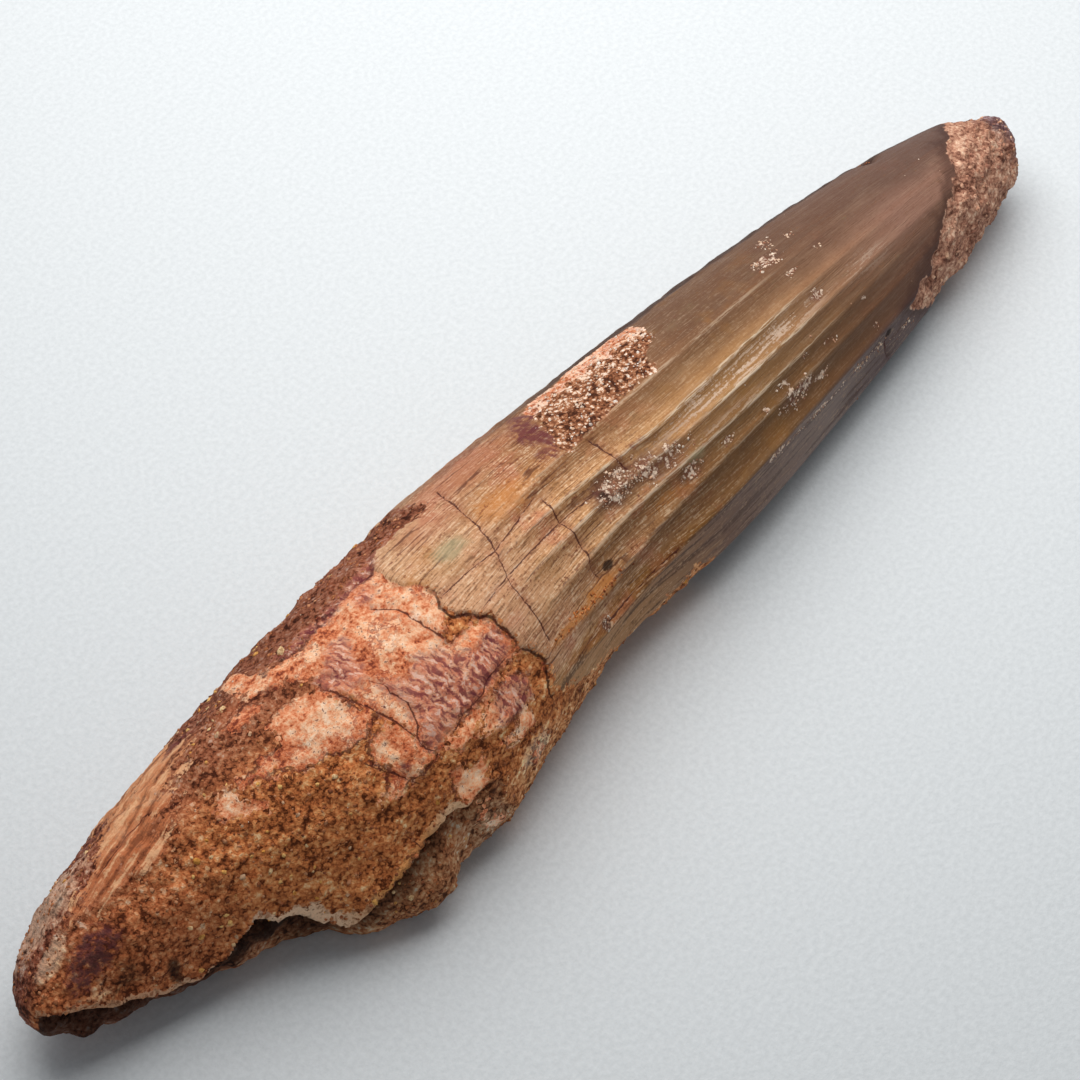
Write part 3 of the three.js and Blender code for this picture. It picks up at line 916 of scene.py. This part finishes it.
    enamel = enamel.to(near_face, (fields["near_face"] + streak * 0.8).rise(-0.2, 0.4)).over(
        (62, 40, 32, carina * 0.85), (164, 158, 122, greenish * 0.6))

    # Bone runs from rust through peach to cream in fine grains, and is fibrous at the root's end
    warmth = fields["cream"] * 0.2 - fields["orange"] * 0.17
    bone = (warmth + ragged * 1.6 + fine * 0.8 + crisp + 0.5).ramp(
        (0.1, 132, 62, 44), (0.3, 212, 118, 76), (0.48, 236, 158, 116), (0.65, 250, 192, 150),
        (0.9, 255, 222, 192))
    bone = bone.over(
        (112, 44, 36, (crisp + ragged * 0.5).rise(0.15, 0.21) * 0.75),
        (140, 56, 48, abs(ragged + crisp * 0.16).rise(0.035, 0.01) * mottle.rise(-0.1, 0.1) * 0.6),
        (110, 36, 26, (rare + fine * 0.6).rise(0.97, 1.0) * cells.rise(0.55, 0.3) * 0.75))
    flank = arc_from_top.rise(-13.5, -15.5) * chart_u.rise(0.24, 0.28)
    bone = bone.times((1.18, 1.12, 1.06, arc_from_top.rise(-3.0, -6.0)), (0.95, 1.15, 1.35, flank))
    strand = fibre + ragged * 0.4 + crisp * 0.4
    bone = bone.over(
        (206, 140, 96, fibrous * 0.65),
        (186, 100, 60, fibrous * (arc_from_top + ragged * 4.0).rise(5.0, 0.5) * 0.65),
        (104, 54, 34, strand.rise(-0.02, 0.18) * fibrous * 0.7),
        (246, 196, 150, strand.rise(-0.04, -0.18) * fibrous * 0.7))

    # Sandstone is reddish-brown on the root, full of white and peach grains on the crown, pinkish at the tip
    crust = (sugar + ragged * 0.4 + mottle * 0.6 + 0.03).ramp(
        (0.2, 92, 44, 20), (0.42, 182, 104, 58), (0.58, 212, 132, 78), (0.75, 230, 162, 104),
        (0.95, 246, 204, 154))
    pale_patch = (fields["pale_sand"] + ragged * 1.2 + fine).rise(0.2, 0.7)
    # The second factor darkens the crust over the top and far side, so the near slope is painted lighter:
    # painted light for the light the lamp gives that slope too little of
    crust = crust.times(
        (1.1, 1.0, 0.96, patchy.rise(0.0, 0.2)),
        (0.61, 0.62, 0.92, arc_from_top.rise(-4.0, 3.0)),
        (0.9, 0.86, 1.0, chart_u.rise(0.16, 0.08)),
        (0.76, 0.76, 0.84, arc_from_top.rise(4.5, 6.5)),
        (1.6, 2.1, 2.1, pale_patch))
    crust = crust.over((230, 196, 168, pale_patch * 0.45))
    # Painted shade in the recess under the broken rim, and on the wall of the root below it
    painted_shade_under_rim = broken.rise(0.0, 0.3) * broken.rise(4.0, 0.6) * chart_u.rise(0.275, 0.24)
    painted_shade_on_wall = broken.rise(0.0, 0.3) * broken.rise(5.0, 2.0) * chart_u.rise(0.185, 0.16)
    crust = crust.times(
        (0.75, 0.95, 1.3, broken.rise(0.0, 0.4) * chart_u.rise(0.33, 0.27)),
        (0.4, 0.4, 0.42, painted_shade_under_rim),
        (0.4, 0.36, 0.36, painted_shade_on_wall),
        (1.05, 1.3, 1.6, flank))
    crown_sand = (sugar + (arc_from_top + mottle * 5.0).rise(3.0, 8.0) * 0.24).ramp(
        (0.25, 74, 40, 26), (0.5, 150, 94, 64), (0.62, 194, 138, 102), (0.69, 240, 212, 188),
        (0.9, 252, 238, 226))
    smooth_part = (arc_from_top + ragged * 4.0 + fine * 2.0).rise(5.6, 6.6)
    crown_sand = crown_sand.to(bone, smooth_part * 0.75).over(
        (246, 216, 194, smooth_part * (ragged + crisp * 0.5).rise(-0.02, 0.14) * 0.7))
    tip_sand = (sugar * 0.6 + ragged * 0.9 + crisp * 0.5 + 0.2).ramp(
        (0.2, 98, 60, 48), (0.42, 168, 118, 96), (0.58, 204, 154, 128), (0.85, 246, 212, 182))

    # Bone lies under the enamel and the root's crust. Next come bare bone along the broken edge, purple
    # plates and stains, the line where the enamel ends and smudges under residues
    rim = (fields["rim"] + ragged * 1.9 + fine).rise(-0.06, 0.1) * broken.rise(0.12, 0.0)
    rim_colour = chart_u.ramp(
        (0.05, 214, 164, 128), (0.13, 246, 206, 172), (0.168, 248, 208, 172), (0.19, 228, 158, 92),
        (0.23, 224, 156, 98), (0.25, 250, 204, 160))
    rim_colour = rim_colour.over((130, 72, 40, (fine + ragged * 0.7 + crisp * 0.4).rise(-0.02, 0.22) * 0.75))
    plate = (fields["purple_plate"] + ragged * 2.6 + fine).rise(-0.7, 0.7)
    strokes = vein * 1.5 + ragged * 0.9 + crisp * 0.5
    stain = fields["purple"] * (vein * 1.6 + ragged * 1.6 + fine + 0.72)
    lip = abs(fields["enamel"] + ragged * 0.4 + fine * 0.3 + 0.06).rise(0.15, 0.05)
    lip = lip * (mottle + ragged).rise(-0.2, 0.0)
    lip = lip * arc_from_top.rise(0.5, -1.5) * arc_from_top.rise(-14.0, -12.5)
    dust = fields["residue"]
    smudge = (dust + ragged * 0.9 + fine * 0.4).rise(0.12, 0.7)
    base = bone.to(enamel, on_enamel).to(crust, on_crust).to(rim_colour, rim * 0.9).over(
        (206, 136, 116, plate * 0.5),
        (132, 60, 62, plate * strokes.rise(-0.06, 0.22) * 0.85),
        (246, 206, 186, plate * strokes.rise(-0.12, -0.28) * 0.75),
        (104, 44, 52, stain.rise(0.12, 0.95) * 0.85),
        (92, 62, 58, stain.rise(0.2, 1.1) * chart_u.rise(0.14, 0.1) * 0.55),
        (52, 24, 20, lip * 0.85),
        (92, 54, 44, smudge * (by_root * 0.65 + 0.2)))

    # Crusts of the crown and the tip lie over those, and dark stains, cracks and pale crumbs over
    # everything.
    # The dark stains also hold painted shade in the hole under the notch in the broken edge
    tip_rim = abs(tip_edge + 0.4).rise(1.4, 0.0) * chart_u.rise(0.7, 0.75)
    tip_sand = tip_sand.over((84, 54, 56, stain.rise(0.3, 0.8) * 0.85))
    tip_sand = tip_sand.times((0.45, 0.5, 0.75, (chart_u + ragged * 0.03).rise(0.955, 0.985)))
    base = base.to(crown_sand, on_crown_crust).over((70, 44, 38, tip_rim * 0.6)).to(tip_sand, on_tip_crust)
    # Dark stains, with painted shade in the hole under the notch in the broken edge
    base = base.over((36, 20, 14, (fields["dark"] + ragged * 0.8 + crisp * 0.6).rise(0.35, 0.85) * 0.85))
    base = base.times((0.62, 0.42, 0.44, fields["crack_halo"] * (ragged * 3.0 + 0.5).rise(0.0, 1.0) * 0.6))
    jagged = ragged * 0.6 + fine * 0.25
    pinch = ragged * 0.28 + fine * 0.1 + mottle * 0.1
    cracks = [thin_line(chart, line, True, jagged, pinch, CROSS_CRACK_HALF_WIDTH) for line in CROSS_CRACKS]
    cracks += [
        thin_line(chart, line, False, jagged * 0.6, pinch, LONG_CRACK_HALF_WIDTH) for line in LONG_CRACKS]
    seam = abs(crust_edge + fine * 1.2).rise(0.25, 0.05) * broken.rise(-0.2, -0.6)
    seam = seam * chart_u.rise(0.36, 0.34) * mottle.rise(-0.15, 0.1)
    crumb = sugar.ramp((0.42, 122, 78, 60), (0.64, 244, 218, 194))
    crumbled = (dust * 0.8 + ragged * 1.5 + fine * 1.2 + crisp * 0.8).rise(0.6, 0.72)
    base = base.over((72, 28, 26, largest([largest(cracks) * 0.85, seam * 0.75]))).to(crumb, crumbled * 0.85)

    # Enamel has a dull gloss and hair-fine lines. Sand and bone are matt and rough
    sandy = largest([fields["root_crust"], fields["crown_crust"], fields["tip_crust"]]).rise(-0.2, 0.3)
    glossy = fields["enamel"].rise(-0.1, 0.1) * (1 - sandy)
    roughness = glossy * (hair * 0.3 - 0.26) + 0.86
    height = fine * 0.6 + (hair * 0.25 - fine * 0.6) * glossy
    height = height + (fine * 1.2 - height) * sandy
    finish_material(base, roughness, height, relief_mm=0.2, gloss=0.12)
    return material


faces, chart_corners = closed_faces()
tooth = add_object("tooth_skin", closed_grid(skin), faces, tooth_material())
add_map(tooth, chart_corners)
for name, values in tooth_fields.items():
    attribute = tooth.data.attributes.new(name, "FLOAT", "POINT")
    attribute.data.foreach_set("value", closed_grid(values).astype(np.float32))
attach(tooth, "root")
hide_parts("tooth")

# The loose grains
# Coarser quartz grains and crumbs of the bed's sandstone, cemented half sunk in the crust and here and there
# on the enamel. Each is one rough pebble with twenty faces.
GRAIN_SUNK = 0.72  # the share of a grain's size that lies below the skin
LOWEST_GRAIN = 1.5  # height above the floor, below which no grain is set
STRETCH, DENTS, SHADES = (0.65, 1.2), (0.75, 1.15), (0.8, 1.1)  # the least and the most of each
MAP_FILL = 0.4  # a grain's radius on its map, as a share of the map cell that it has to itself


def icosahedron():
    """Twelve corners on three golden rectangles, brought to radius 1, and the twenty outward faces."""
    golden = (1 + math.sqrt(5)) / 2
    corners = np.array([np.roll((0, a, b * golden), k) for k in range(3) for a in (-1, 1) for b in (-1, 1)])
    triples = np.array(list(itertools.combinations(range(len(corners)), 3)))
    sides = np.linalg.norm(corners[triples] - corners[np.roll(triples, 1, axis=1)], axis=2)
    sheets = triples[sides.max(axis=1) < 2.1]  # edges are 2 long, and other corners are further apart
    first, second, third = (corners[sheets[:, k]] for k in range(3))
    inward = np.einsum("ij,ij->i", np.cross(second - first, third - first), first) < 0
    sheets[inward] = sheets[inward][:, ::-1]
    return corners / np.linalg.norm(corners[0]), sheets


def scatter_places(weight, count, rng):
    """Places on the skin and their normals: a cell drawn by weight times area, then a place within it."""
    area = np.linalg.norm(np.cross(np.diff(skin[:-1], axis=1), np.diff(skin[:, :-1], axis=0)), axis=2)
    odds = (np.where(skin[..., 2] > LOWEST_GRAIN, weight, 0)[:-1, :-1] * area).ravel()
    row, side = np.divmod(rng.choice(odds.size, count, p=odds / odds.sum()), AROUND)
    down, over = rng.random((2, count, 1))

    def within(grid):
        """The grid's value at each place, from its cell's four corners."""
        first = grid[row, side] * (1 - over) + grid[row, side + 1] * over
        second = grid[row + 1, side] * (1 - over) + grid[row + 1, side + 1] * over
        return first * (1 - down) + second * down

    return within(skin), within(skin_normal)


GRAIN_COLOUR = "grain_colour"


def grain_material():
    """Each grain's own colour, a little lighter and darker over its faces."""
    material, wire = new_material("sand_grains")
    shade = wire.add("ShaderNodeAttribute", {"attribute_name": GRAIN_COLOUR})
    fine = noise(object_place(wire), 0.25, detail=1.0)
    base = shade.times((0.55, 0.45, 0.4, fine.rise(-0.05, 0.2)))
    finish_material(base, 0.8 - fine * 0.3, fine, relief_mm=0.1, gloss=0.15)
    return material


def add_grains(name, weight, count, sizes, colours, seed):
    """Pebbles scattered by a weight: an icosahedron each, turned, stretched and dented at random."""
    rng = np.random.default_rng(seed)
    place, normal = scatter_places(weight, count, rng)
    corners, sheets = icosahedron()
    turns = np.linalg.qr(rng.normal(size=(count, 3, 3)))[0]
    turns = turns * np.sign(np.linalg.det(turns))[:, None, None]
    size = sizes[0] + (sizes[1] - sizes[0]) * rng.random((count, 1, 1)) ** 2
    dents = rng.uniform(*DENTS, (count, len(corners), 1))
    pebble = (corners * rng.uniform(*STRETCH, (count, 1, 3)) * dents) @ turns * size / 2
    vertices = place[:, None] + normal[:, None] * size * (0.5 - GRAIN_SUNK) + pebble
    vertices[..., 2] = np.maximum(vertices[..., 2], 0)
    faces = sheets + len(corners) * np.arange(count)[:, None, None]
    made = add_object(name, vertices.reshape(-1, 3), faces.reshape(-1, 3).tolist(), sand)
    rows = math.ceil(math.sqrt(count))
    cell = np.stack([np.arange(count) % rows, np.arange(count) // rows], axis=-1)[:, None]
    chart = (cell + 0.5 + MAP_FILL * corners[:, :2]) / rows
    add_map(made, chart.reshape(-1, 2)[faces.reshape(-1)])
    palette = np.array([tint(*colour) for colour in colours])
    shade = palette[rng.integers(0, len(palette), count)] * rng.uniform(*SHADES, (count, 1))
    attribute = made.data.attributes.new(GRAIN_COLOUR, "FLOAT_COLOR", "POINT")
    attribute.data.foreach_set("color", np.repeat(shade, len(corners), axis=0).astype(np.float32).ravel())
    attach(made, "root")


BROWN_SAND = [(176, 108, 66), (164, 100, 64), (196, 127, 84), (150, 88, 58), (184, 113, 74), (206, 144, 104)]
PALE_SAND = [(242, 192, 120), (234, 174, 96), (244, 208, 156), (226, 184, 146), (226, 158, 76)]
WHITE_SAND = [(246, 226, 206), (238, 206, 180), (226, 184, 152), (160, 100, 66), (248, 236, 224)]
TIP_SAND = [(214, 164, 136), (196, 142, 116), (232, 188, 156), (170, 118, 98)]
CRUMBS = [(240, 212, 186), (226, 190, 162), (204, 158, 128), (250, 232, 212), (166, 114, 88)]
ORANGE_CRUMBS = [(212, 128, 66), (196, 112, 56), (226, 150, 92), (150, 84, 48)]
PALEST_STATION, PALE_HALF_LENGTH = -43, 7  # where pale grains lie thickest
# No sand grains on purple and dark stains, on the painted shade at the notch, nor in the recess under the
# broken edge
stain_and_shade_places = np.maximum(tooth_fields["purple"], tooth_fields["dark"])
stain_and_shade_places = np.maximum(stain_and_shade_places, below_edge * smooth_step(-38, -41, station))
on_root_sand = smooth_step(0.2, 0.6, root_crust) * (1 - smooth_step(0.1, 0.6, stain_and_shade_places))
sand = grain_material()
add_grains("root_grains", on_root_sand, count=2600, sizes=(0.25, 0.55), colours=BROWN_SAND, seed=21)
on_pale_sand = on_root_sand * (0.15 + np.exp(-((station - PALEST_STATION) / PALE_HALF_LENGTH) ** 2))
add_grains("pale_grains", on_pale_sand, count=170, sizes=(0.4, 0.9), colours=PALE_SAND, seed=22)
on_crown_sand = smooth_step(0, 0.4, crown_crust)
add_grains("crown_grains", on_crown_sand, count=380, sizes=(0.2, 0.5), colours=WHITE_SAND, seed=23)
on_tip_sand = smooth_step(0, 0.5, tip_crust)
add_grains("tip_grains", on_tip_sand, count=420, sizes=(0.3, 0.7), colours=TIP_SAND, seed=24)
orange_spots = blots([(-11, -10.5, 6, 0.5, 1), (46.6, 6.4, 0.7, 0.9, 1)]) ** 2
add_grains("orange_crumbs", orange_spots, count=130, sizes=(0.18, 0.42), colours=ORANGE_CRUMBS, seed=26)
residue = tooth_fields["residue"]
dusty = smooth_step(0.45, 0.95, 0.9 * residue + 0.7 * cloud(pitch=0.8, seed=17, octaves=2))
dusty = dusty * (0.05 + smooth_step(0.02, 0.15, residue)) * (crown_crust < 0)
add_grains("crumbs", dusty, count=700, sizes=(0.14, 0.42), colours=CRUMBS, seed=25)

# The floor
# A wide sheet of smooth board that the tooth lies loose on. It is a cool white, with a faint grain and
# a dull gloss.
FLOOR_HALF = 2000
floor_material, floor_wire = new_material("pale_floor")
floor_grain = noise(object_place(floor_wire), 0.5, detail=2.0)
floor_colour = (floor_grain + 0.5).ramp((0.3, 219, 224, 227), (0.7, 229, 234, 237))
finish_material(floor_colour, 0.6, floor_grain, relief_mm=0.05, gloss=0.3)
floor_corners = [(x * FLOOR_HALF, y * FLOOR_HALF, 0) for x, y in ((-1, -1), (1, -1), (1, 1), (-1, 1))]
floor = add_object("floor", floor_corners, [[0, 1, 2, 3]], floor_material)

# The light
# One broad soft lamp stands behind the tooth and above it, as a window would, so that the shadow falls
# towards the camera. An even pale surround fills it in.
VIEW_AZIMUTH, VIEW_ELEVATION = math.radians(-54.1), math.radians(54.0)
LAMP_BEHIND, LAMP_HEIGHT, LAMP_SIZE, LAMP_WATTS = 0.125, 0.2, 0.28, 0.74
LAMP_AIM_BEHIND, LAMP_AIM_BESIDE = 0.16, 0.064
LAMP_COLOUR = (1.0, 0.98, 0.96)
SURROUND_COLOUR, SURROUND_STRENGTH = tint(232, 238, 243), 0.22
behind = np.array([-math.sin(VIEW_AZIMUTH), math.cos(VIEW_AZIMUTH), 0])
beside = np.array([math.cos(VIEW_AZIMUTH), math.sin(VIEW_AZIMUTH), 0])
upward = np.array([0, 0, 1])
lamp_data = bpy.data.lights.new("window", "AREA")
lamp_data.shape = "SQUARE"
lamp_data.size = LAMP_SIZE
lamp_data.energy = LAMP_WATTS
lamp_data.color = LAMP_COLOUR
lamp = bpy.data.objects.new("window", lamp_data)
lamp.location = behind * LAMP_BEHIND + upward * LAMP_HEIGHT
lamp.rotation_mode = "QUATERNION"
lamp_aim = Vector(behind * LAMP_AIM_BEHIND + beside * LAMP_AIM_BESIDE)
lamp.rotation_quaternion = (lamp_aim - lamp.location).to_track_quat("-Z", "Y")
bpy.context.scene.collection.objects.link(lamp)
world = bpy.data.worlds.new("surround")
world.use_nodes = True
surround = world.node_tree.nodes["Background"]
surround.inputs["Color"].default_value = SURROUND_COLOUR
surround.inputs["Strength"].default_value = SURROUND_STRENGTH
bpy.context.scene.world = world
bpy.context.scene.view_settings.view_transform = "Standard"

# The camera
# It looks down on the tooth from its near side, with the root towards it and the tip away, through a long
# lens on a full-size sensor.
CAMERA_DISTANCE = 0.2239
CAMERA_TARGET = np.array([-0.00032, 0.00385, 0.0])
camera_data = bpy.data.cameras.new("camera")
camera_data.lens = 85
camera_data.sensor_width = 36
camera_data.clip_start = 0.01
camera = bpy.data.objects.new("camera", camera_data)
backward = upward * math.sin(VIEW_ELEVATION) - behind * math.cos(VIEW_ELEVATION)
camera.location = CAMERA_TARGET + CAMERA_DISTANCE * backward
camera.rotation_euler = (math.pi / 2 - VIEW_ELEVATION, 0, VIEW_AZIMUTH)
bpy.context.scene.collection.objects.link(camera)
bpy.context.scene.camera = camera
